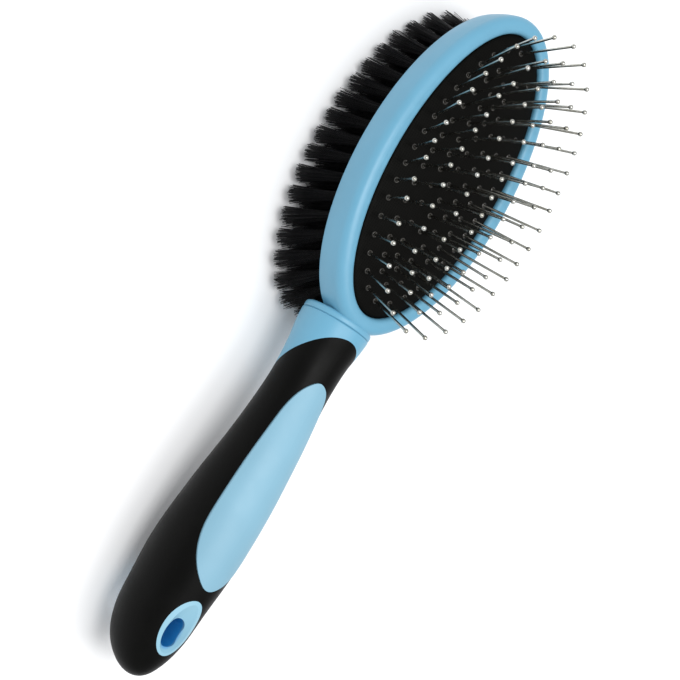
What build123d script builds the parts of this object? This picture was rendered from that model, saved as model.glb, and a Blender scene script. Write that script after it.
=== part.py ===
from build123d import *
import math
import os
import random

# A double-sided pet brush: ball-tipped steel pins in a rubber cushion on one face of an oval head,
# nylon tufts on the other, and a rubber-covered handle with a hang hole.
# Millimetres. +X runs from the head's tip to the handle's butt, +Z is the pin side.
# The origin is the centre of the bounding box's bottom face, where the tuft tips rest.

# ---- driving dimensions: head ----
total_length = 234.0
frame_half_length = 55.9
frame_half_width = 28.5
frame_wall_crown = 0.6        # how far the side wall bulges past its top and bottom edges
frame_crest = 0.6             # the rim's highest line above the cushion's edge
frame_depth = 11.6            # from the cushion's edge plane down to the rim's bottom edge
frame_top_round = 3.2
frame_bottom_round = 1.2
frame_mouth_round = 1.4
pocket_half_length = 50.0
pocket_half_width = 22.6
pin_pocket_floor = -3.6       # heights below are measured from the cushion's edge plane
block_pocket_roof = -7.8
socket_start = 53.6           # inner face of the socket that takes the handle, from the head's centre
seam_x = 56.0
socket_radius = 11.5
socket_round = 1.2
tang_half_width = 7.0
tang_low = -7.0
tang_high = -4.4
tang_tip_x = 30.0
fit_gap = 0.1
snug_gap = 0.01               # between parts that touch
cut_past = 1.0                # how far a cutting solid runs past the surface that it opens
cut_top = 20.0                # cuts through the whole handle run between these two heights
cut_bottom = -40.0
cut_reach = 60.0              # half size of the solid that cuts the grip's slanted front

# ---- driving dimensions: cushion and pins ----
cushion_edge = -0.3
cushion_crown = 2.4
cushion_thickness = 1.5
backing_thickness = 0.3
backing_gap = 0.06            # between the rubber's underside and its backing
backing_margin = 0.3          # between the backing's edge and the bead
seam_turn = 37.0              # keeps a dome's surface seam clear of the pins
bead_reach = 1.0              # how far the cushion's bead reaches under the rim
bead_width = 2.4
bead_low = -2.8
bead_high = -1.2
pin_ring_inset = 5.1          # outer ring of pins, inside the cushion's edge
pin_ring_step = 5.85
pin_counts = (36, 30, 24)
centre_pin_count = 10
centre_pin_pitch = 5.6
pin_length = 21.2             # above the cushion
pin_wire_radius = 0.42
pin_ball_radius = 0.76
pin_head_radius = 1.0
pin_head_thickness = 0.5
pin_head_drop = 0.65          # a tilted head hangs this far under the backing
pin_fan_long = 0.31           # sideways slope of a pin at the cushion's end and at its side
pin_fan_wide = 0.60
pin_wobble = 0.025

# ---- driving dimensions: bristle block and tufts ----
block_face = -12.3
block_round = 0.8
tuft_ring_long = 47.4
tuft_ring_wide = 20.0
tuft_ring_step = 4.3
tuft_ring_shift = 0.4
tuft_counts = (38, 34, 29, 24, 20)
tuft_free_length = 21.8
tuft_hole_depth = 3.4
tuft_hole_radius = 1.2
tuft_neck = 0.5               # a tuft starts to spread this far outside its hole
tuft_tip_radius = 2.2
tuft_fan_long = 0.42
tuft_fan_wide = 0.46
tuft_lean = 0.20              # the whole fan leans towards the handle
anchor_height = 1.2
anchor_thickness = 0.4
socket_setback_x = 45.2       # the outer ring is cut off straight here, clear of the socket

# ---- driving dimensions: handle, as (distance from the head's centre, half width, half height,
# height of the centre line), before its butt is rounded off ----
handle_rows = (
    (56.0, 11.6, 11.6, -10.9),
    (60.0, 11.3, 11.3, -11.1),
    (68.0, 10.2, 10.2, -11.1),
    (80.0, 9.8, 10.1, -10.8),
    (98.0, 10.9, 11.9, -10.8),
    (118.0, 12.4, 14.3, -12.1),
    (138.0, 12.7, 15.8, -13.8),
    (154.0, 11.5, 15.1, -14.5),
    (164.0, 10.9, 14.6, -14.4),
    (172.0, 10.8, 14.6, -13.5),
    (178.1, 10.8, 14.6, -11.3),
)
section_spots = (56.0, 58.0, 60.0, 63.0, 66.0, 70.0, 75.0, 80.0, 86.0, 92.0, 98.0, 104.0, 110.0, 116.0,
                 122.0, 128.0, 134.0, 140.0, 146.0, 152.0, 157.0, 161.0, 164.5, 167.5, 170.0, 172.1,
                 173.9, 175.4, 176.6, 177.5, 178.0, 178.1)
butt_round_x = 158.0          # the butt's rounding starts here
butt_round_length = 20.15
core_end_x = 172.5            # the core under the grip stops short of the butt
inset_end_x = 165.0
grip_thickness = 2.4
neck_round = 0.5
grip_front_x = 59.6           # the grip's foremost point, on top of the neck
grip_front_slope = 1.0        # how fast its edge runs back as it goes down the sides
inset_proud = 0.25
inset_floor = -6.0            # the inset stays above this height
inset_gap = 0.2
inset_tip_x = 74.9
inset_tail_x = 145.4
inset_widths = ((76.9, 3.5), (82.0, 6.0), (92.0, 7.8), (106.0, 9.2), (121.5, 10.0), (132.0, 9.5),
                (139.0, 7.3), (143.0, 4.3))
eyelet_x = 158.6
eyelet_half_length = 9.5
eyelet_half_width = 5.4
eyelet_top = 0.2              # the handle's top and bottom at the eyelet
eyelet_bottom = -29.3
eyelet_tilt = 7.0             # degrees, as the handle narrows towards its butt
eyelet_lip = 0.5
throat_x = 160.8
throat_half_length = 4.8
throat_half_width = 2.7
throat_wall = 1.5
funnel_depth = 2.6

head_x = frame_half_length - total_length / 2
butt_x = section_spots[-1]
assert abs(butt_x + frame_half_length - total_length) < 0.001


def plate(half_length, half_width, low, high):
    """A flat oval plate between two heights."""
    return extrude(Pos(0, 0, low) * Ellipse(half_length, half_width), high - low)


def domed_plate(half_length, half_width, edge, crown, thickness):
    """An oval plate whose top and bottom are both domed by the same crown.

    Each arc goes through the parabola's height halfway out, three quarters of the crown.
    """
    half = half_width
    top = ThreePointArc((half, 0, edge), (half * 0.5, 0, edge + crown * 0.75), (0, 0, edge + crown))
    axis = Line((0, 0, edge + crown), (0, 0, edge + crown - thickness))
    bottom_middle = (half * 0.5, 0, edge + crown * 0.75 - thickness)
    bottom = ThreePointArc((0, 0, edge + crown - thickness), bottom_middle, (half, 0, edge - thickness))
    rim = Line((half, 0, edge - thickness), (half, 0, edge))
    profile = make_face(Wire([top, axis, bottom, rim]))
    turned = Rot(0, 0, seam_turn) * revolve(profile, Axis.Z)
    return scale(turned, by=(half_length / half_width, 1, 1))


def ring_points(half_length, half_width, count):
    """Points spaced evenly by arc length round an oval, starting on +X."""
    oval = Edge.make_ellipse(half_length, half_width)
    step = oval.length / count
    return [oval.position_at(i * step, PositionMode.LENGTH) for i in range(count)]


def row_points(count, pitch):
    """Points along the head's centre line."""
    return [Vector((i - (count - 1) / 2) * pitch, 0, 0) for i in range(count)]


def lathe(outline):
    """A solid of revolution from (radius, height) points, closed along its axis."""
    points = [(radius, 0, height) for radius, height in outline]
    profile = make_face(Polyline(*points, close=True))
    return revolve(profile, Axis.Z)


def standing(solid, point, direction):
    """A copy of a solid made along +Z, stood at a point along a direction."""
    return Plane(origin=point, z_dir=direction).location * solid


# ---- cushion and pins ----

def cushion_height(point):
    """Height of the cushion's top above its edge plane at a point."""
    distance = (point.X / pocket_half_length) ** 2 + (point.Y / pocket_half_width) ** 2
    return cushion_edge + cushion_crown * (1 - distance)


def pin_groups():
    """Where each pin leaves the cushion, and the way it points, ring by ring."""
    chance = random.Random(11)
    rings = []
    for number, count in enumerate(pin_counts):
        inset = pin_ring_inset + number * pin_ring_step
        rings.append(ring_points(pocket_half_length - inset, pocket_half_width - inset, count))
    rings.append(row_points(centre_pin_count, centre_pin_pitch))
    groups = []
    for ring in rings:
        pins = []
        for spot in ring:
            slope_x = pin_fan_long * spot.X / pocket_half_length + chance.uniform(-pin_wobble, pin_wobble)
            slope_y = pin_fan_wide * spot.Y / pocket_half_width + chance.uniform(-pin_wobble, pin_wobble)
            foot = Vector(spot.X, spot.Y, cushion_height(spot))
            pins.append((foot, Vector(slope_x, slope_y, 1).normalized()))
        groups.append(pins)
    return groups


def pin_depth():
    """How far a pin's wire reaches down through the cushion and its backing."""
    return cushion_thickness + backing_gap + backing_thickness + pin_head_drop


def one_pin():
    """A steel pin: flat head under the backing, straight wire, ball tip."""
    depth = pin_depth()
    head = Pos(0, 0, -depth - pin_head_thickness / 2) * Cylinder(pin_head_radius, pin_head_thickness)
    ball_height = pin_length - pin_ball_radius
    wire = Pos(0, 0, (ball_height - depth) / 2) * Cylinder(pin_wire_radius, ball_height + depth)
    ball = Pos(0, 0, ball_height) * Sphere(pin_ball_radius)
    return head + wire + ball


def pin_hole():
    """The hole a pin's wire takes through the cushion and its backing."""
    return Cylinder(pin_wire_radius + snug_gap, 2 * pin_depth())


def pin_cushion(pins):
    """Domed rubber pad with a bead that is caught under the rim."""
    pad = domed_plate(pocket_half_length - fit_gap, pocket_half_width - fit_gap,
                      cushion_edge, cushion_crown, cushion_thickness)
    outer = plate(pocket_half_length + bead_reach, pocket_half_width + bead_reach, bead_low, bead_high)
    inner_inset = bead_width - bead_reach
    inner = plate(pocket_half_length - inner_inset, pocket_half_width - inner_inset,
                  bead_low - cut_past, bead_high + cut_past)
    return pad + (outer - inner) - [standing(pin_hole(), foot, way) for foot, way in pins]


def cushion_backing(pins):
    """Thin cloth bonded under the rubber, which the pins' heads pull against."""
    inset = bead_width - bead_reach + backing_margin
    drop = cushion_thickness + backing_gap
    share = 1 - (inset / pocket_half_width)
    edge = cushion_edge + cushion_crown * (1 - share ** 2) - drop
    cloth = domed_plate(pocket_half_length * share, pocket_half_width * share,
                        edge, cushion_crown * share ** 2, backing_thickness)
    return cloth - [standing(pin_hole(), foot, way) for foot, way in pins]


# ---- bristle block and tufts ----

def tuft_groups():
    """Where each tuft leaves the block, and the way it points, ring by ring."""
    groups = []
    for number, count in enumerate(tuft_counts):
        inset = number * tuft_ring_step
        farthest_x = socket_setback_x - inset
        innermost = number == len(tuft_counts) - 1
        tufts = []
        for spot in ring_points(tuft_ring_long - inset, tuft_ring_wide - inset, count):
            if innermost and spot.X > farthest_x:
                continue
            x = min(spot.X, farthest_x)
            slope_x = tuft_lean + tuft_fan_long * x / tuft_ring_long
            slope_y = tuft_fan_wide * spot.Y / tuft_ring_wide
            foot = Vector(x + tuft_ring_shift, spot.Y, block_face)
            tufts.append((foot, Vector(slope_x, slope_y, -1).normalized()))
        groups.append(tufts)
    return groups


def one_tuft():
    """The outline of one tuft: parallel in its hole, then spreading to its tips."""
    root = anchor_height - tuft_hole_depth
    waist = tuft_hole_radius - 2 * snug_gap
    outline = [(0, root), (waist, root), (waist, tuft_neck), (tuft_tip_radius, tuft_free_length),
               (0, tuft_free_length)]
    return lathe(outline)


def one_anchor():
    """Flat wire that pins a folded tuft down in the bottom of its hole."""
    centre = -tuft_hole_depth + anchor_height / 2
    width = 2 * math.sqrt((tuft_hole_radius - 2 * snug_gap) ** 2 - (anchor_thickness / 2) ** 2)
    return Pos(0, 0, centre) * Box(width, anchor_thickness, anchor_height - 2 * snug_gap)


def bristle_block(tufts):
    """Oval plate with a blind hole for each tuft."""
    block = plate(pocket_half_length - fit_gap, pocket_half_width - fit_gap,
                  block_face, block_pocket_roof - fit_gap)
    lower_edge = block.edges().sort_by(Axis.Z)[0]
    block = fillet(lower_edge, block_round)
    hole_length = tuft_hole_depth + 2 * cut_past
    hole = Pos(0, 0, hole_length / 2 - tuft_hole_depth) * Cylinder(tuft_hole_radius, hole_length)
    return block - [standing(hole, foot, way) for foot, way in tufts]


# ---- head frame ----

def head_frame():
    """Oval rim with a pocket on each face, a web between them and a socket for the handle."""
    middle = (frame_crest - frame_depth) / 2
    levels = ((-frame_depth, frame_wall_crown), (middle, 0.0), (frame_crest, frame_wall_crown))
    ovals = []
    for height, draw in levels:
        ovals.append(Pos(0, 0, height) * Ellipse(frame_half_length - draw, frame_half_width - draw))
    body = loft(ovals)
    body = fillet(body.edges().sort_by(Axis.Z)[-1], frame_top_round)
    body = fillet(body.edges().sort_by(Axis.Z)[0], frame_bottom_round)
    seam_height = handle_section(seam_x)[2]
    collar_length = seam_x - socket_start
    collar = Pos(socket_start + collar_length / 2, 0, seam_height) * Rot(0, 90, 0) * Cylinder(
        socket_radius, collar_length)
    ends = collar.edges().filter_by(GeomType.CIRCLE).sort_by(Axis.X)
    collar = fillet(ends[0], socket_round)
    collar = fillet(collar.edges().filter_by(GeomType.CIRCLE).sort_by(Axis.X)[-1], neck_round)
    pin_pocket = plate(pocket_half_length, pocket_half_width, pin_pocket_floor, frame_crest + cut_past)
    block_pocket = plate(pocket_half_length, pocket_half_width, cut_bottom, block_pocket_roof)
    body = body - pin_pocket
    mouth = body.edges().filter_by(lambda e: abs(e.center().Z - frame_crest) < snug_gap)
    mouth = mouth.sort_by(SortBy.LENGTH)[0]
    body = fillet(mouth, frame_mouth_round)
    groove = plate(pocket_half_length + bead_reach + fit_gap, pocket_half_width + bead_reach + fit_gap,
                   bead_low - fit_gap, bead_high + fit_gap)
    slot_length = seam_x + cut_past - tang_tip_x
    slot = Pos(tang_tip_x + slot_length / 2 - fit_gap, 0, (tang_low + tang_high) / 2) * Box(
        slot_length + fit_gap, 2 * (tang_half_width + fit_gap), tang_high - tang_low + 2 * fit_gap)
    return body + collar - pin_pocket - block_pocket - groove - slot


# ---- handle ----

def smooth_between(rows, x):
    """The values of a table at x, on a smooth curve through its rows."""
    last = len(rows) - 1
    low = max(i for i in range(last) if rows[i][0] <= x)
    start, end = rows[low], rows[low + 1]
    before = rows[max(low - 1, 0)]
    after = rows[min(low + 2, last)]
    span = end[0] - start[0]
    share = (x - start[0]) / span
    values = []
    for k in range(1, len(start)):
        rise_in = (end[k] - before[k]) / (end[0] - before[0]) * span
        rise_out = (after[k] - start[k]) / (after[0] - start[0]) * span
        value = start[k] * (1 + 2 * share) * (1 - share) ** 2 + end[k] * (3 - 2 * share) * share ** 2
        value += rise_in * share * (1 - share) ** 2 - rise_out * share ** 2 * (1 - share)
        values.append(value)
    return values


def handle_section(x):
    """Half width, half height and centre height of the handle at a distance from the head's centre."""
    half_width, half_height, height = smooth_between(handle_rows, x)
    past = max(0.0, x - butt_round_x) / butt_round_length
    fullness = math.sqrt(1 - past ** 2)
    return half_width * fullness, half_height * fullness, height


def handle_shape(offset, end_x):
    """The handle's outside, grown or shrunk by an offset, as far as a distance from the head's centre."""
    ovals = []
    for x in section_spots:
        if x > end_x:
            break
        half_width, half_height, height = handle_section(x)
        section = Plane(origin=(x, 0, height), x_dir=(0, 1, 0), z_dir=(1, 0, 0))
        ovals.append(section * Ellipse(half_width + offset, half_height + offset))
    return loft(ovals)


def neck_zone():
    """Everything in front of the grip's slanted front edge."""
    half_height, height = handle_section(grip_front_x)[1:]
    top = height + half_height
    corners = [
        (-cut_reach, 0, top + cut_reach),
        (grip_front_x - cut_reach * grip_front_slope, 0, top + cut_reach),
        (grip_front_x + cut_reach * grip_front_slope, 0, top - cut_reach),
        (-cut_reach, 0, top - cut_reach),
    ]
    side = make_face(Polyline(*corners, close=True))
    return extrude(side, cut_reach, both=True)


def inset_outline(shrink):
    """The inset's long egg-shaped outline, seen along Z."""
    upper = [(x, width - shrink) for x, width in inset_widths]
    lower = [(x, shrink - width) for x, width in reversed(inset_widths)]
    tip = (inset_tip_x + shrink, 0)
    tail = (inset_tail_x - shrink, 0)
    return make_face(Spline(tip, *upper, tail, *lower, periodic=True))


def tall(face, low, high):
    """A face on the XY plane turned into a prism between two heights."""
    return extrude(Pos(0, 0, low) * face, high - low)


def eyelet_oval():
    """The eyelet's outline at the handle's surface, seen along Z."""
    return Pos(eyelet_x, 0, 0) * Ellipse(eyelet_half_length, eyelet_half_width)


def throat_slot(grow):
    """The hang hole's straight-sided oval, seen along Z."""
    return Pos(throat_x, 0, 0) * SlotOverall(2 * (throat_half_length + grow), 2 * (throat_half_width + grow))


def funnel():
    """The flared mouth above the throat, with the middle of its rim at the origin."""
    wide = Ellipse(eyelet_half_length - eyelet_lip, eyelet_half_width - eyelet_lip)
    deep = Pos(throat_x - eyelet_x, 0, -funnel_depth) * Ellipse(throat_half_length, throat_half_width)
    return loft([deep, wide]) + extrude(wide, 4 * cut_past)


def handle_pieces():
    """The core, the grip, the inset and the eyelet, cut from one handle shape."""
    outside = handle_shape(0, butt_x)
    inside = handle_shape(-grip_thickness, core_end_x)
    proud = handle_shape(inset_proud, inset_end_x)
    neck = neck_zone()

    tang_length = seam_x + 2 * cut_past - tang_tip_x
    tang = Pos(tang_tip_x + tang_length / 2, 0, (tang_low + tang_high) / 2) * Box(
        tang_length, 2 * tang_half_width, tang_high - tang_low)
    tube = tall(throat_slot(throat_wall), cut_bottom, cut_top)
    core = inside + (outside & neck)
    front_edge = core.edges().filter_by(lambda e: abs(e.center().X - seam_x) < snug_gap)
    core = fillet(front_edge.sort_by(SortBy.LENGTH)[-1], neck_round)
    core = core + tang - tube

    window = tall(inset_outline(0), inset_floor, cut_top)
    mouths = tall(eyelet_oval(), cut_bottom, cut_top)
    grip = outside - inside - neck - window - mouths

    inset = (tall(inset_outline(inset_gap), inset_floor, cut_top) & proud) - inside

    flanges = (mouths & outside) - inside
    upper_funnel = Pos(eyelet_x, 0, eyelet_top) * Rot(0, eyelet_tilt, 0) * funnel()
    lower_funnel = Pos(eyelet_x, 0, eyelet_bottom) * Rot(0, -eyelet_tilt, 0) * Rot(180, 0, 0) * funnel()
    eyelet = flanges + (tube & outside)
    eyelet = eyelet - upper_funnel - lower_funnel - tall(throat_slot(0), cut_bottom, cut_top)
    return core, grip, inset, eyelet


def bristle_drop(tufts):
    """How far the lowest tuft reaches below the cushion's edge plane."""
    reaches = []
    for foot, way in tufts:
        tilt = math.acos(-way.Z)
        reaches.append(tuft_free_length * math.cos(tilt) + tuft_tip_radius * math.sin(tilt) - foot.Z)
    return max(reaches)


pin_ring_names = ("outer_ring", "second_ring", "third_ring", "centre_row")
tuft_ring_names = ("outer_ring", "second_ring", "third_ring", "fourth_ring", "inner_ring")
pins_by_ring = pin_groups()
tufts_by_ring = tuft_groups()
all_pins = [pin for ring in pins_by_ring for pin in ring]
all_tufts = [tuft for ring in tufts_by_ring for tuft in ring]
in_place = Pos(head_x, 0, bristle_drop(all_tufts))

nodes = {}
core, grip, inset, eyelet = handle_pieces()
nodes["head_frame"] = head_frame()
nodes["handle_core"] = core
nodes["grip_overmould"] = grip
nodes["grip_inset"] = inset
nodes["hang_hole_eyelet"] = eyelet
nodes["pin_cushion"] = pin_cushion(all_pins)
nodes["cushion_backing"] = cushion_backing(all_pins)
nodes["bristle_block"] = bristle_block(all_tufts)
pin = one_pin()
tuft = one_tuft()
anchor = one_anchor()
for name, pins in zip(pin_ring_names, pins_by_ring):
    nodes["pins_" + name] = Compound([standing(pin, foot, way) for foot, way in pins])
for name, tufts in zip(tuft_ring_names, tufts_by_ring):
    nodes["tufts_" + name] = Compound([standing(tuft, foot, way) for foot, way in tufts])
    nodes["anchors_" + name] = Compound([standing(anchor, foot, way) for foot, way in tufts])

os.makedirs("parts", exist_ok=True)
for name, shape in nodes.items():
    solids = [in_place * solid for solid in shape.solids()]
    export_step(solids[0] if len(solids) == 1 else Compound(solids), "parts/" + name + ".step")
print("lowest tuft reach", round(bristle_drop(all_tufts), 3), "head centre x", head_x)
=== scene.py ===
import math

import bmesh
import bpy
import numpy as np
from mathutils import Matrix, Vector
from mathutils.geometry import delaunay_2d_cdt


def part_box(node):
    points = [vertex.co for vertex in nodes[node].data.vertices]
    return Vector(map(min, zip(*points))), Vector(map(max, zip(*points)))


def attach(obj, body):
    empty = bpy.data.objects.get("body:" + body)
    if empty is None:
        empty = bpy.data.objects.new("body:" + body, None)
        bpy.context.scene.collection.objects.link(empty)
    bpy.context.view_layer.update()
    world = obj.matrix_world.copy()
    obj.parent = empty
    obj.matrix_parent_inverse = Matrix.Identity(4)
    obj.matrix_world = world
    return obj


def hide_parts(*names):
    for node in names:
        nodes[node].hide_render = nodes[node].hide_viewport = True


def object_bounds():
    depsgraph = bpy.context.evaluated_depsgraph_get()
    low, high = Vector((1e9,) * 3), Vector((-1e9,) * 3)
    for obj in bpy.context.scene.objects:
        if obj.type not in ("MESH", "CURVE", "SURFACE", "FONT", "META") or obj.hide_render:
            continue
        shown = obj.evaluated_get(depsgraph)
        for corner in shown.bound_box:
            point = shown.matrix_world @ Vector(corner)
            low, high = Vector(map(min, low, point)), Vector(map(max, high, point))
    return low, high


# Looks for a double-sided pet brush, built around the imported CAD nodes. Metres, +X from the head's
# tip to the handle's butt, +Z out of the pin side, tuft tips at z = 0.

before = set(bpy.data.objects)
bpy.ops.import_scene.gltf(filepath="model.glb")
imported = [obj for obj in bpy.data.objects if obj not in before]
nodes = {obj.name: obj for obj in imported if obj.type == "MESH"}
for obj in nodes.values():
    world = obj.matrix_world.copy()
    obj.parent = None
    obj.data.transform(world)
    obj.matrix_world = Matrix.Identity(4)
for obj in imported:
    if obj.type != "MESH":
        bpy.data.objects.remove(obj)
cad_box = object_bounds()
MM = 0.001
BRUSH_MIDDLE = (Vector(cad_box[0]) + Vector(cad_box[1])) / 2

# ---- reading the CAD solids ----
WELD_DISTANCE = 0.001 * MM      # joins the loose triangles of a node's mesh
END_SLICE = 0.3 * MM            # depth of the slices that find a slim solid's two ends
SORT_DIGITS = 5                 # decimals of a metre that put a node's solids in order

# ---- bristles ----
FILAMENTS_IN_TUFT = 110
FILAMENT_RADIUS = 0.115 * MM
FILAMENT_TIP_TAPER = 0.72       # a filament's last radius, as a share of the rest
FILAMENT_RINGS = 5
FILAMENT_SIDES = 4
ROOT_FILL = 0.98                # share of its hole that a tuft fills at the block
TUFT_LENGTH_SPREAD = 0.022      # share of a tuft's length that tufts differ by
TIP_LENGTH_SPREAD = 0.028       # share that filaments differ by within a tuft
TIP_CROWN = 0.012               # share that a tuft's outermost filaments fall short by
TIP_SPLAY = 1.34                # how far the tips open, as a share of the CAD tuft's end
TIP_SCATTER = 0.16 * MM
TIP_WANDER = 0.12               # radians that a tip strays round its tuft
FILAMENT_BEND = 0.32 * MM
BEND_EASE = 0.35                # how much of a bend is taken back towards the tip
FLARE_POWER = 1.70              # filaments stay bunched near the block, then open
FIRST_SEED = 40
GOLDEN_ANGLE = math.pi * (3 - math.sqrt(5))
NYLON_GLINT_FADE = 3.5 * MM       # height above the tuft tips where the painted highlight on the nylon ends

# ---- cushion ----
CUSHION_CROWN = 2.4 * MM
CUSHION_BEAD = 1.1 * MM         # how far the CAD cushion's bead reaches past the pad you see
CUSHION_SKIRT = 1.6 * MM
CUSHION_GRID = 0.95 * MM
GRID_ROW_STEP = 0.866           # a triangle grid's row spacing, as a share of its point spacing
GRID_MARGIN = 1.5 * MM          # the grid keeps this far inside the border
BORDER_POINTS = 300
BORDER_INSETS = (0.0, 0.25, 0.55, 0.95)    # mm inside the border, for the rows of its roll
EDGE_ROLL = 0.9 * MM            # width over which the cushion rolls down at its border
EDGE_DROP = 0.7 * MM
PLAN_TOLERANCE = 1e-6           # mm, for the triangulation
FOOT_PASSES = 4                 # steps to where a pin's axis meets the dome

# ---- the lip and dimple round each pin ----
LIP_RADIUS = 0.70 * MM
LIP_WIDTH = 0.20 * MM
LIP_HEIGHT = 0.30 * MM
DIMPLE_DEPTH = 0.20 * MM
DIMPLE_RADIUS = 0.42 * MM
LIP_RINGS = (0.0, 0.3, 0.44, 0.57, 0.68, 0.79, 0.91, 1.05, 1.3)    # mm from the pin's axis
LIP_SEGMENTS = 20
LIP_CLEARANCE = 0.35 * MM       # between a lip's last ring and the grid
LIP_INNER = 0.48 * MM           # the part of a lip in glossy polished rubber with a painted highlight colour, from the pin's axis
LIP_OUTER = 0.92 * MM

# ---- hang hole ----
PAINTED_SHADE_START = 3.0 * MM         # depth below a mouth where the painted shade in the throat begins
PAINTED_SHADE_FULL = 4.4 * MM          # depth where the painted shade in the throat is at its darkest

# ---- colours, linear ----
FRAME_BLUE = (0.121, 0.326, 0.466)
INSET_BLUE = (0.194, 0.374, 0.482)
EYELET_BLUE = (0.235, 0.440, 0.550)
# painted shade: the dark saturated blue painted inside the hang hole's throat
THROAT_PAINTED_SHADE_BLUE = (0.018, 0.230, 0.560)
GRIP_BLACK = (0.0016, 0.0016, 0.0014)
BLOCK_BLACK = (0.0020, 0.0020, 0.0022)
WEAVE_LOW = (0.0008, 0.0008, 0.0006)
WEAVE_HIGH = (0.0028, 0.0028, 0.0022)
# painted highlight: a paler warm grey for the glints on the pin lips
LIP_GREY_PAINTED_HIGHLIGHT = (0.020, 0.018, 0.014)
STEEL_BRIGHT = (0.56, 0.56, 0.53)
STEEL_DULL = (0.36, 0.35, 0.30)
NYLON_BLACK = (0.0011, 0.0011, 0.0016)
# painted highlight: the paler nylon colour for the glints at the tuft tips
NYLON_PAINTED_GLINT = (0.009, 0.010, 0.014)
CLOTH_GREY = (0.05, 0.05, 0.05)
PAPER_WHITE = (0.88, 0.88, 0.885)
ROOM_WHITE = (0.97, 0.985, 1.0)
FLOW_SHADE = 0.94               # how much deeper the plastic is along its flow
DUST_SHADE = 1.8                # how much paler the rubber is where dust holds
WEAVE_PITCH = 0.8 * MM

# ---- stage ----
FLOOR_HALF = 1.6
ROOM_STRENGTH = 0.76

# ---- camera ----
CAMERA_AIM = Vector((59.8, 1.6, 3.9)) * MM    # from the middle of the head frame's box
CAMERA_DISTANCE = 0.4932
CAMERA_AZIMUTH = 11.16          # degrees from -Y towards +X
CAMERA_ELEVATION = 51.57        # degrees above the floor
CAMERA_ROLL = 111.92            # degrees about the line of sight
CAMERA_LENS = 85.32             # mm
SENSOR_WIDTH = 36.0             # mm
CLIP_NEAR = 0.01
CLIP_FAR = 20.0


# ---------------------------------------------------------------- mesh helpers

def new_object(name, vertices, faces, smooth=True):
    """A mesh object from plain lists or arrays."""
    mesh = bpy.data.meshes.new(name)
    mesh.from_pydata([tuple(v) for v in vertices], [], faces)
    mesh.validate()
    mesh.polygons.foreach_set("use_smooth", [smooth] * len(mesh.polygons))
    mesh.update()
    piece = bpy.data.objects.new(name, mesh)
    bpy.context.scene.collection.objects.link(piece)
    return piece


def separate_solids(node):
    """The vertex positions of each separate solid in a CAD node, as arrays."""
    shape = bmesh.new()
    shape.from_mesh(nodes[node].data)
    bmesh.ops.remove_doubles(shape, verts=shape.verts, dist=WELD_DISTANCE)
    unseen = set(shape.verts)
    solids = []
    while unseen:
        start = unseen.pop()
        island = [start]
        stack = [start]
        while stack:
            for edge in stack.pop().link_edges:
                for vertex in edge.verts:
                    if vertex in unseen:
                        unseen.remove(vertex)
                        island.append(vertex)
                        stack.append(vertex)
        solids.append(np.array([v.co[:] for v in island]))
    shape.free()
    solids.sort(key=lambda points: tuple(round(points[:, side].mean(), SORT_DIGITS) for side in (0, 1)))
    return solids


def long_axis(points):
    """The lower and upper end of a slim solid's axis, and its radius near each end."""
    middle = points.mean(0)
    spread = points - middle
    direction = np.linalg.svd(spread, full_matrices=False)[2][0]
    if direction[2] < 0:
        direction = -direction
    along = spread @ direction
    across = np.linalg.norm(spread - np.outer(along, direction), axis=1)
    # the axis goes through the middles of the two end faces
    at_low = along < along.min() + END_SLICE
    at_high = along > along.max() - END_SLICE
    return points[at_low].mean(0), points[at_high].mean(0), across[at_low].max(), across[at_high].max()


# ---------------------------------------------------------------- material helpers

def shader(name, colour, roughness, **sockets):
    """A material with one Principled shader, and its node tree."""
    material = bpy.data.materials.new(name)
    material.use_nodes = True
    tree = material.node_tree
    surface = tree.nodes["Principled BSDF"]
    surface.inputs["Base Color"].default_value = (*colour, 1.0)
    surface.inputs["Roughness"].default_value = roughness
    for socket, value in sockets.items():
        surface.inputs[socket.replace("_", " ")].default_value = value
    return material, tree, surface


def coordinates(tree):
    """The object's own coordinates, in metres."""
    return tree.nodes.new("ShaderNodeTexCoord").outputs["Object"]


def apart(tree, vector):
    """A node that gives a vector's X, Y and Z."""
    node = tree.nodes.new("ShaderNodeSeparateXYZ")
    tree.links.new(vector, node.inputs["Vector"])
    return node


def noise(tree, vector, per_metre, detail=3.0, roughness=0.55):
    """A noise value at a number of features to the metre."""
    texture = tree.nodes.new("ShaderNodeTexNoise")
    texture.inputs["Scale"].default_value = per_metre
    texture.inputs["Detail"].default_value = detail
    texture.inputs["Roughness"].default_value = roughness
    tree.links.new(vector, texture.inputs["Vector"])
    return texture.outputs["Fac"]


def ranged(tree, value, low, high, from_low=0.3, from_high=0.7):
    """A value mapped from one range to another; a noise value lies mostly from 0.3 to 0.7."""
    mapper = tree.nodes.new("ShaderNodeMapRange")
    mapper.inputs["From Min"].default_value = from_low
    mapper.inputs["From Max"].default_value = from_high
    mapper.inputs["To Min"].default_value = low
    mapper.inputs["To Max"].default_value = high
    tree.links.new(value, mapper.inputs["Value"])
    return mapper.outputs["Result"]


def two_colours(tree, value, first, second):
    """A colour between two, by a value from 0 to 1."""
    mix = tree.nodes.new("ShaderNodeMix")
    mix.data_type = "RGBA"
    mix.inputs["A"].default_value = (*first, 1.0)
    mix.inputs["B"].default_value = (*second, 1.0)
    tree.links.new(value, mix.inputs["Factor"])
    return mix.outputs["Result"]


def bump(tree, surface, height, distance, strength, under=None):
    """Adds a bump of a real height to a surface, on top of another bump if one is given."""
    node = tree.nodes.new("ShaderNodeBump")
    node.inputs["Distance"].default_value = distance
    node.inputs["Strength"].default_value = strength
    tree.links.new(height, node.inputs["Height"])
    if under is not None:
        tree.links.new(under, node.inputs["Normal"])
    tree.links.new(node.outputs["Normal"], surface.inputs["Normal"])
    return node.outputs["Normal"]


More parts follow.
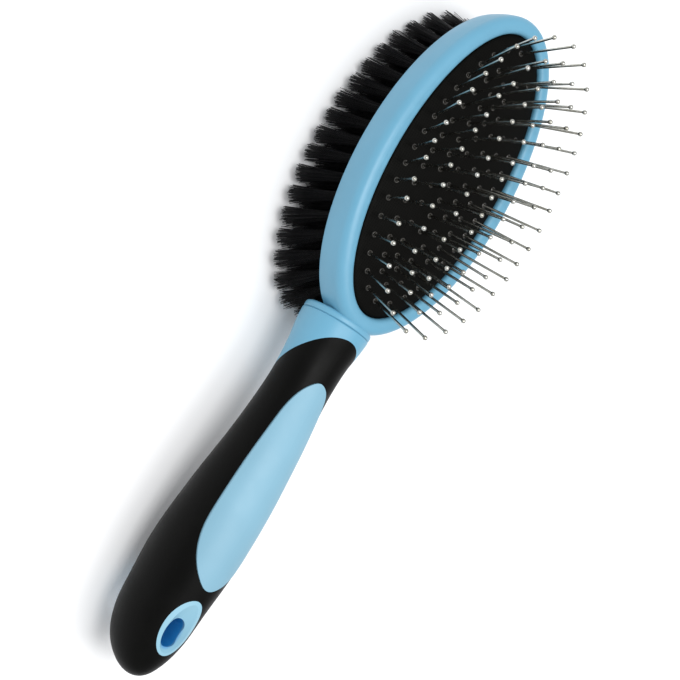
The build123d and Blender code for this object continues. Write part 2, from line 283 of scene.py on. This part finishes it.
def maths(tree, operation, first, second=None):
    """A Math node; each input is a socket or a number."""
    node = tree.nodes.new("ShaderNodeMath")
    node.operation = operation
    for index, value in enumerate((first, second)):
        if value is None:
            continue
        if isinstance(value, (int, float)):
            node.inputs[index].default_value = value
        else:
            tree.links.new(value, node.inputs[index])
    return node.outputs["Value"]


# ---------------------------------------------------------------- materials

def mould_texture(tree, surface, here):
    """The fine texture that a mould leaves on plastic."""
    grain = noise(tree, here, per_metre=2600.0, detail=2.0)
    bump(tree, surface, grain, distance=0.012 * MM, strength=0.6)


def moulded_plastic(name, colour, roughness):
    """Satin injection-moulded plastic: faint flow in its colour, slightly uneven gloss."""
    material, tree, surface = shader(name, colour, roughness, Specular_IOR_Level=0.4)
    here = coordinates(tree)
    flow = noise(tree, here, per_metre=45.0, detail=2.0)
    deeper = tuple(channel * FLOW_SHADE for channel in colour)
    colours = two_colours(tree, ranged(tree, flow, low=0.0, high=1.0), colour, deeper)
    tree.links.new(colours, surface.inputs["Base Color"])
    sheen = noise(tree, here, per_metre=160.0, detail=4.0)
    rough = ranged(tree, sheen, low=roughness - 0.04, high=roughness + 0.06)
    tree.links.new(rough, surface.inputs["Roughness"])
    mould_texture(tree, surface, here)
    return material


def eyelet_plastic(name):
    """The eyelet's pale plastic, with a painted shade inside the throat: a dark saturated blue that stands
    in for the shade and the many bounces of light there.
    """
    material, tree, surface = shader(name, EYELET_BLUE, 0.42, Specular_IOR_Level=0.4)
    here = coordinates(tree)
    low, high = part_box("hang_hole_eyelet")
    half = (high.z - low.z) / 2
    from_middle = maths(tree, "SUBTRACT", apart(tree, here).outputs["Z"], (low.z + high.z) / 2)
    # painted shade: the colour darkens to a saturated blue with depth inside the throat
    deep = ranged(tree, maths(tree, "ABSOLUTE", from_middle), low=1.0, high=0.0,
                  from_low=half - PAINTED_SHADE_FULL, from_high=half - PAINTED_SHADE_START)
    tree.links.new(two_colours(tree, deep, EYELET_BLUE, THROAT_PAINTED_SHADE_BLUE), surface.inputs["Base Color"])
    mould_texture(tree, surface, here)
    return material


def soft_rubber(name, colour, roughness):
    """Overmoulded soft-touch rubber: a fine matt grain, uneven gloss and a little dust."""
    material, tree, surface = shader(name, colour, roughness, Specular_IOR_Level=0.07)
    here = coordinates(tree)
    patches = noise(tree, here, per_metre=90.0, detail=5.0)
    rough = ranged(tree, patches, low=roughness - 0.05, high=roughness + 0.08)
    tree.links.new(rough, surface.inputs["Roughness"])
    dust = ranged(tree, patches, low=0.0, high=1.0, from_low=0.45, from_high=0.8)
    paler = tuple(channel * DUST_SHADE for channel in colour)
    tree.links.new(two_colours(tree, dust, colour, paler), surface.inputs["Base Color"])
    grain = noise(tree, here, per_metre=3400.0, roughness=0.65)
    bump(tree, surface, grain, distance=0.03 * MM, strength=0.7)
    return material


def woven_rubber(name):
    """Rubber with the fine square weave that its cloth mould leaves."""
    material, tree, surface = shader(name, WEAVE_LOW, 0.5, Specular_IOR_Level=0.045)
    here = coordinates(tree)
    sides = apart(tree, here)
    turn = 2 * math.pi / WEAVE_PITCH
    along = maths(tree, "SINE", maths(tree, "MULTIPLY", sides.outputs["X"], turn))
    across = maths(tree, "SINE", maths(tree, "MULTIPLY", sides.outputs["Y"], turn))
    threads = maths(tree, "MAXIMUM", along, across)
    weave = ranged(tree, threads, low=0.0, high=1.0, from_low=-0.4, from_high=1.0)
    tree.links.new(two_colours(tree, weave, WEAVE_LOW, WEAVE_HIGH), surface.inputs["Base Color"])
    grain = noise(tree, here, per_metre=2500.0)
    tree.links.new(ranged(tree, grain, low=0.42, high=0.6), surface.inputs["Roughness"])
    fine = bump(tree, surface, grain, distance=0.02 * MM, strength=0.5)
    bump(tree, surface, weave, distance=0.05 * MM, strength=0.8, under=fine)
    return material


def lip_rubber(name):
    """Smoother rubber on the raised lips, where the pins have polished it, in a paler warm grey that is a
    painted highlight for the glints on the lips.
    """
    material, tree, surface = shader(name, LIP_GREY_PAINTED_HIGHLIGHT, 0.24, Specular_IOR_Level=0.6)
    wear = noise(tree, coordinates(tree), per_metre=700.0)
    tree.links.new(ranged(tree, wear, low=0.18, high=0.34), surface.inputs["Roughness"])
    bump(tree, surface, wear, distance=0.02 * MM, strength=0.4)
    return material


def drawn_steel(name):
    """Polished spring wire: a faint drawn grain and a little tarnish."""
    material, tree, surface = shader(name, STEEL_BRIGHT, 0.22, Metallic=1.0)
    here = coordinates(tree)
    drawn = noise(tree, here, per_metre=420.0, detail=2.0)
    tree.links.new(ranged(tree, drawn, low=0.18, high=0.27), surface.inputs["Roughness"])
    tarnish = ranged(tree, noise(tree, here, per_metre=240.0, detail=4.0), low=0.0, high=1.0)
    tree.links.new(two_colours(tree, tarnish, STEEL_BRIGHT, STEEL_DULL), surface.inputs["Base Color"])
    bump(tree, surface, drawn, distance=0.003 * MM, strength=0.3)
    return material


def nylon(name):
    """Black nylon filament, faintly blue, with a painted highlight near the cut tips that stands in for
    their glints.
    """
    material, tree, surface = shader(name, NYLON_BLACK, 0.36, Specular_IOR_Level=0.14)
    here = coordinates(tree)
    strands = noise(tree, here, per_metre=900.0, detail=2.0)
    # painted highlight: paler nylon near the tips, broken up by strand noise
    at_tip = ranged(tree, apart(tree, here).outputs["Z"], low=1.0, high=0.0,
                    from_low=0.0, from_high=NYLON_GLINT_FADE)
    pale = maths(tree, "MULTIPLY", ranged(tree, strands, low=0.1, high=1.0), at_tip)
    tree.links.new(two_colours(tree, pale, NYLON_BLACK, NYLON_PAINTED_GLINT), surface.inputs["Base Color"])
    tree.links.new(ranged(tree, strands, low=0.28, high=0.46), surface.inputs["Roughness"])
    return material


def plain_cloth(name):
    """Dark backing cloth."""
    material, tree, surface = shader(name, CLOTH_GREY, 0.85)
    fibres = noise(tree, coordinates(tree), per_metre=1800.0, detail=4.0)
    bump(tree, surface, fibres, distance=0.05 * MM, strength=0.8)
    return material


def floor_paper(name):
    """Seamless white studio paper."""
    material, tree, surface = shader(name, PAPER_WHITE, 0.9, Specular_IOR_Level=0.1)
    tooth = noise(tree, coordinates(tree), per_metre=900.0)
    bump(tree, surface, tooth, distance=0.02 * MM, strength=0.3)
    return material


# ---------------------------------------------------------------- tufts

def filament_rings(tuft, random):
    """The middles of a tuft's filaments at each step from the block to the tips, and two cross axes."""
    tip, root, tip_radius, root_radius = tuft
    count = FILAMENTS_IN_TUFT
    axis = tip - root
    length = np.linalg.norm(axis)
    axis = axis / length
    side = np.cross(axis, (1.0, 0.0, 0.0))
    side /= np.linalg.norm(side)
    other = np.cross(axis, side)
    index = np.arange(count)
    share = np.sqrt((index + 0.5) / count)
    turn = index * GOLDEN_ANGLE + random.uniform(0, 2 * np.pi)
    reach_root = share * (root_radius - FILAMENT_RADIUS) * ROOT_FILL
    reach_tip = share * tip_radius * TIP_SPLAY + random.normal(0, TIP_SCATTER, count)
    spin = turn + random.normal(0, TIP_WANDER, count)
    tuft_length = length * (1 - random.uniform(0, TUFT_LENGTH_SPREAD))
    shorter = random.uniform(0, TIP_LENGTH_SPREAD, count)
    run = tuft_length * (1 - shorter - TIP_CROWN * share ** 2)
    bend = random.normal(0, FILAMENT_BEND, (count, 2))
    rings = []
    for step in range(FILAMENT_RINGS):
        t = step / (FILAMENT_RINGS - 1)
        open_out = t ** FLARE_POWER
        sway = t * t * (1 - BEND_EASE * t)
        u = reach_root * np.cos(turn) * (1 - open_out) + reach_tip * np.cos(spin) * open_out
        v = reach_root * np.sin(turn) * (1 - open_out) + reach_tip * np.sin(spin) * open_out
        u = u + bend[:, 0] * sway
        v = v + bend[:, 1] * sway
        rings.append(root + np.outer(run * t, axis) + np.outer(u, side) + np.outer(v, other))
    return rings, side, other


def filament_bundle(tufts, name, seed):
    """Nylon filaments for a node's tufts, each one a slim bent tube, closed at both ends."""
    random = np.random.default_rng(seed)
    sides = FILAMENT_SIDES
    corners = 2 * np.pi * np.arange(sides) / sides
    vertices = []
    faces = []
    for tuft in tufts:
        rings, side, other = filament_rings(tuft, random)
        for one in range(FILAMENTS_IN_TUFT):
            start = len(vertices)
            last = start + (FILAMENT_RINGS - 1) * sides
            for ring in rings:
                radius = FILAMENT_RADIUS * (FILAMENT_TIP_TAPER if ring is rings[-1] else 1.0)
                for angle in corners:
                    vertices.append(ring[one] + radius * (side * np.cos(angle) + other * np.sin(angle)))
            for low in range(start, last, sides):
                for k in range(sides):
                    after = (k + 1) % sides
                    faces.append((low + k, low + after, low + sides + after, low + sides + k))
            faces.append(tuple(last + k for k in range(sides)))
            faces.append(tuple(start + sides - 1 - k for k in range(sides)))
    return new_object(name, vertices, faces)


def tuft_pieces():
    """Real filaments for each node of tufts."""
    black = nylon("black_nylon")
    for number, node in enumerate(sorted(n for n in nodes if n.startswith("tufts_"))):
        tufts = [long_axis(points) for points in separate_solids(node)]
        piece = filament_bundle(tufts, "filaments_" + node[len("tufts_"):], FIRST_SEED + number)
        piece.data.materials.append(black)
        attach(piece, "root")
        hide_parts(node)


# ---------------------------------------------------------------- cushion

def cushion_oval():
    """Centre, half length, half width and crown height of the cushion you see."""
    low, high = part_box("pin_cushion")
    centre = (low + high) / 2
    half_length = (high.x - low.x) / 2 - CUSHION_BEAD
    half_width = (high.y - low.y) / 2 - CUSHION_BEAD
    return centre, half_length, half_width, high.z


def pin_feet():
    """Where each pin's axis leaves the cushion, in plan."""
    centre, half_length, half_width, top = cushion_oval()
    feet = []
    for node in sorted(n for n in nodes if n.startswith("pins_")):
        for points in separate_solids(node):
            low, high = long_axis(points)[:2]
            way = (high - low) / (high[2] - low[2])
            spot = low
            for _ in range(FOOT_PASSES):
                share = ((spot[0] - centre.x) / half_length) ** 2 + ((spot[1] - centre.y) / half_width) ** 2
                spot = low + way * (top - CUSHION_CROWN * share - low[2])
            feet.append(spot[:2])
    return np.array(feet)


def cushion_plan(feet):
    """Points in plan for the cushion's top: rows along its border, rings round each pin, and a grid."""
    centre, half_length, half_width, _ = cushion_oval()
    turn = np.linspace(0, 2 * np.pi, BORDER_POINTS, endpoint=False)
    plan = []
    for inset in BORDER_INSETS:
        plan.append(np.c_[centre.x + (half_length - inset * MM) * np.cos(turn),
                          centre.y + (half_width - inset * MM) * np.sin(turn)])
    whole = np.linspace(0, 2 * np.pi, LIP_SEGMENTS, endpoint=False)
    for foot in feet:
        for ring in LIP_RINGS:
            angle = whole if ring > 0 else whole[:1]
            plan.append(np.c_[foot[0] + ring * MM * np.cos(angle), foot[1] + ring * MM * np.sin(angle)])
    grid = []
    row_step = CUSHION_GRID * GRID_ROW_STEP
    for row in range(int(2 * half_width / row_step) + 2):
        y = centre.y - half_width + row * row_step
        for column in range(int(2 * half_length / CUSHION_GRID) + 2):
            x = centre.x - half_length + (column + 0.5 * (row % 2)) * CUSHION_GRID
            inside = ((x - centre.x) / (half_length - GRID_MARGIN)) ** 2
            inside += ((y - centre.y) / (half_width - GRID_MARGIN)) ** 2
            nearest = np.hypot(feet[:, 0] - x, feet[:, 1] - y).min()
            if inside < 1 and nearest > LIP_RINGS[-1] * MM + LIP_CLEARANCE:
                grid.append((x, y))
    plan.append(np.array(grid))
    return np.concatenate(plan)


def cushion_height(points, feet):
    """Height of the cushion's top at points in plan: a dome, a rolled border, lips and dimples."""
    centre, half_length, half_width, top = cushion_oval()
    share = ((points[:, 0] - centre.x) / half_length) ** 2 + ((points[:, 1] - centre.y) / half_width) ** 2
    inset = (1 - np.sqrt(share)) * half_width
    away = np.hypot(points[:, None, 0] - feet[None, :, 0], points[:, None, 1] - feet[None, :, 1]).min(1)
    height = top - CUSHION_CROWN * share
    height -= EDGE_DROP * np.clip(1 - inset / EDGE_ROLL, 0, 1) ** 2
    height += LIP_HEIGHT * np.exp(-((away - LIP_RADIUS) / LIP_WIDTH) ** 2)
    height -= DIMPLE_DEPTH * np.exp(-(away / DIMPLE_RADIUS) ** 2)
    return height


def close_below(vertices, faces, floor_height):
    """Adds a straight skirt and a flat underside to an open top."""
    edge_use = {}
    for face in faces:
        for edge in zip(face, face[1:] + face[:1]):
            edge_use.setdefault(frozenset(edge), []).append(edge)
    rim = [uses[0] for uses in edge_use.values() if len(uses) == 1]
    under = {}
    for a, _ in rim:
        under[a] = len(vertices)
        vertices.append((vertices[a][0], vertices[a][1], floor_height))
    for a, b in rim:
        faces.append((b, a, under[a], under[b]))
    follow = dict(rim)
    loop = [rim[0][0]]
    while follow[loop[-1]] != loop[0]:
        loop.append(follow[loop[-1]])
    faces.append(tuple(under[a] for a in reversed(loop)))


def pin_cushion_piece():
    """Domed rubber pad: a raised lip and a dimple where each pin comes out, a rolled border."""
    feet = pin_feet()
    plan = [Vector(p) / MM for p in cushion_plan(feet)]
    solved = delaunay_2d_cdt(plan, [], [], 0, PLAN_TOLERANCE, False)
    points = np.array([p[:] for p in solved[0]]) * MM
    vertices = [tuple(p) for p in np.c_[points, cushion_height(points, feet)]]
    faces = [tuple(f) for f in solved[2]]
    floor_height = cushion_oval()[3] - CUSHION_CROWN - CUSHION_SKIRT
    close_below(vertices, faces, floor_height)
    piece = new_object("pin_cushion_rubber", vertices, faces)
    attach(piece, "root")
    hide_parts("pin_cushion")
    piece.data.materials.append(woven_rubber("woven_cushion_rubber"))
    piece.data.materials.append(lip_rubber("polished_lip_rubber_painted_highlight"))
    for face in piece.data.polygons:
        spot = face.center
        nearest = np.hypot(feet[:, 0] - spot.x, feet[:, 1] - spot.y).min()
        on_top = spot.z > floor_height + CUSHION_SKIRT / 2
        # the lip faces take the glossy rubber with the painted highlight colour
        if on_top and LIP_INNER < nearest < LIP_OUTER:
            face.material_index = 1


# ---------------------------------------------------------------- CAD nodes

def dress(node, material):
    """Gives a CAD node its material."""
    mesh = nodes[node].data
    mesh.materials.clear()
    mesh.materials.append(material)


def dress_cad_nodes():
    """Materials for every CAD node that stays in view or inside."""
    frame_blue = moulded_plastic("frame_blue_plastic", FRAME_BLUE, roughness=0.38)
    dress("head_frame", frame_blue)
    dress("handle_core", frame_blue)
    dress("grip_inset", moulded_plastic("inset_blue_plastic", INSET_BLUE, roughness=0.5))
    dress("hang_hole_eyelet", eyelet_plastic("eyelet_blue_plastic"))
    dress("grip_overmould", soft_rubber("grip_black_rubber", GRIP_BLACK, roughness=0.42))
    dress("bristle_block", soft_rubber("block_black_plastic", BLOCK_BLACK, roughness=0.5))
    dress("cushion_backing", plain_cloth("backing_cloth"))
    steel = drawn_steel("pin_steel_wire")
    for node in nodes:
        if node.startswith(("pins_", "anchors_")):
            dress(node, steel)


# ---------------------------------------------------------------- stage, light and camera

def floor():
    """A wide sheet of paper under the tuft tips."""
    half = FLOOR_HALF
    corners = [(-half, -half, 0), (half, -half, 0), (half, half, 0), (-half, half, 0)]
    sheet = new_object("studio_floor", corners, [(0, 1, 2, 3)], smooth=False)
    sheet.data.materials.append(floor_paper("studio_paper"))
    sheet.location.z = cad_box[0][2]


def softbox(name, direction, distance, side, watts):
    """A square area light that faces the middle of the brush from a direction."""
    lamp = bpy.data.lights.new(name, "AREA")
    lamp.shape = "SQUARE"
    lamp.size = side
    lamp.energy = watts
    holder = bpy.data.objects.new(name, lamp)
    way = Vector(direction).normalized()
    holder.location = BRUSH_MIDDLE + way * distance
    holder.rotation_euler = way.to_track_quat("Z", "Y").to_euler()
    bpy.context.scene.collection.objects.link(holder)


def studio():
    """Soft light from a white room and two softboxes."""
    world = bpy.data.worlds.new("white_room")
    world.use_nodes = True
    background = world.node_tree.nodes["Background"]
    background.inputs["Color"].default_value = (*ROOM_WHITE, 1.0)
    background.inputs["Strength"].default_value = ROOM_STRENGTH
    bpy.context.scene.world = world
    softbox("key_softbox", direction=(-0.08, -0.32, 1.0), distance=1.1, side=0.42, watts=6.3)
    softbox("back_softbox", direction=(-0.05, 0.16, 1.0), distance=1.1, side=0.5, watts=4.4)
    bpy.context.scene.view_settings.view_transform = "Standard"


def camera():
    """Looks down at the brush from its left, rolled so that the head is up and to the right."""
    lens = bpy.data.cameras.new("camera")
    lens.lens = CAMERA_LENS
    lens.sensor_width = SENSOR_WIDTH
    lens.clip_start = CLIP_NEAR
    lens.clip_end = CLIP_FAR
    holder = bpy.data.objects.new("camera", lens)
    azimuth = math.radians(CAMERA_AZIMUTH)
    elevation = math.radians(CAMERA_ELEVATION)
    back = Vector((math.sin(azimuth) * math.cos(elevation), -math.cos(azimuth) * math.cos(elevation),
                   math.sin(elevation)))
    level = back.to_track_quat("Z", "Y").to_matrix().to_4x4()
    roll = Matrix.Rotation(math.radians(CAMERA_ROLL), 4, "Z")
    head_low, head_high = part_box("head_frame")
    aim = (head_low + head_high) / 2 + CAMERA_AIM
    place = Matrix.Translation(aim + back * CAMERA_DISTANCE)
    holder.matrix_world = place @ level @ roll
    bpy.context.scene.collection.objects.link(holder)
    bpy.context.scene.camera = holder


dress_cad_nodes()
pin_cushion_piece()
tuft_pieces()
floor()
studio()
camera()
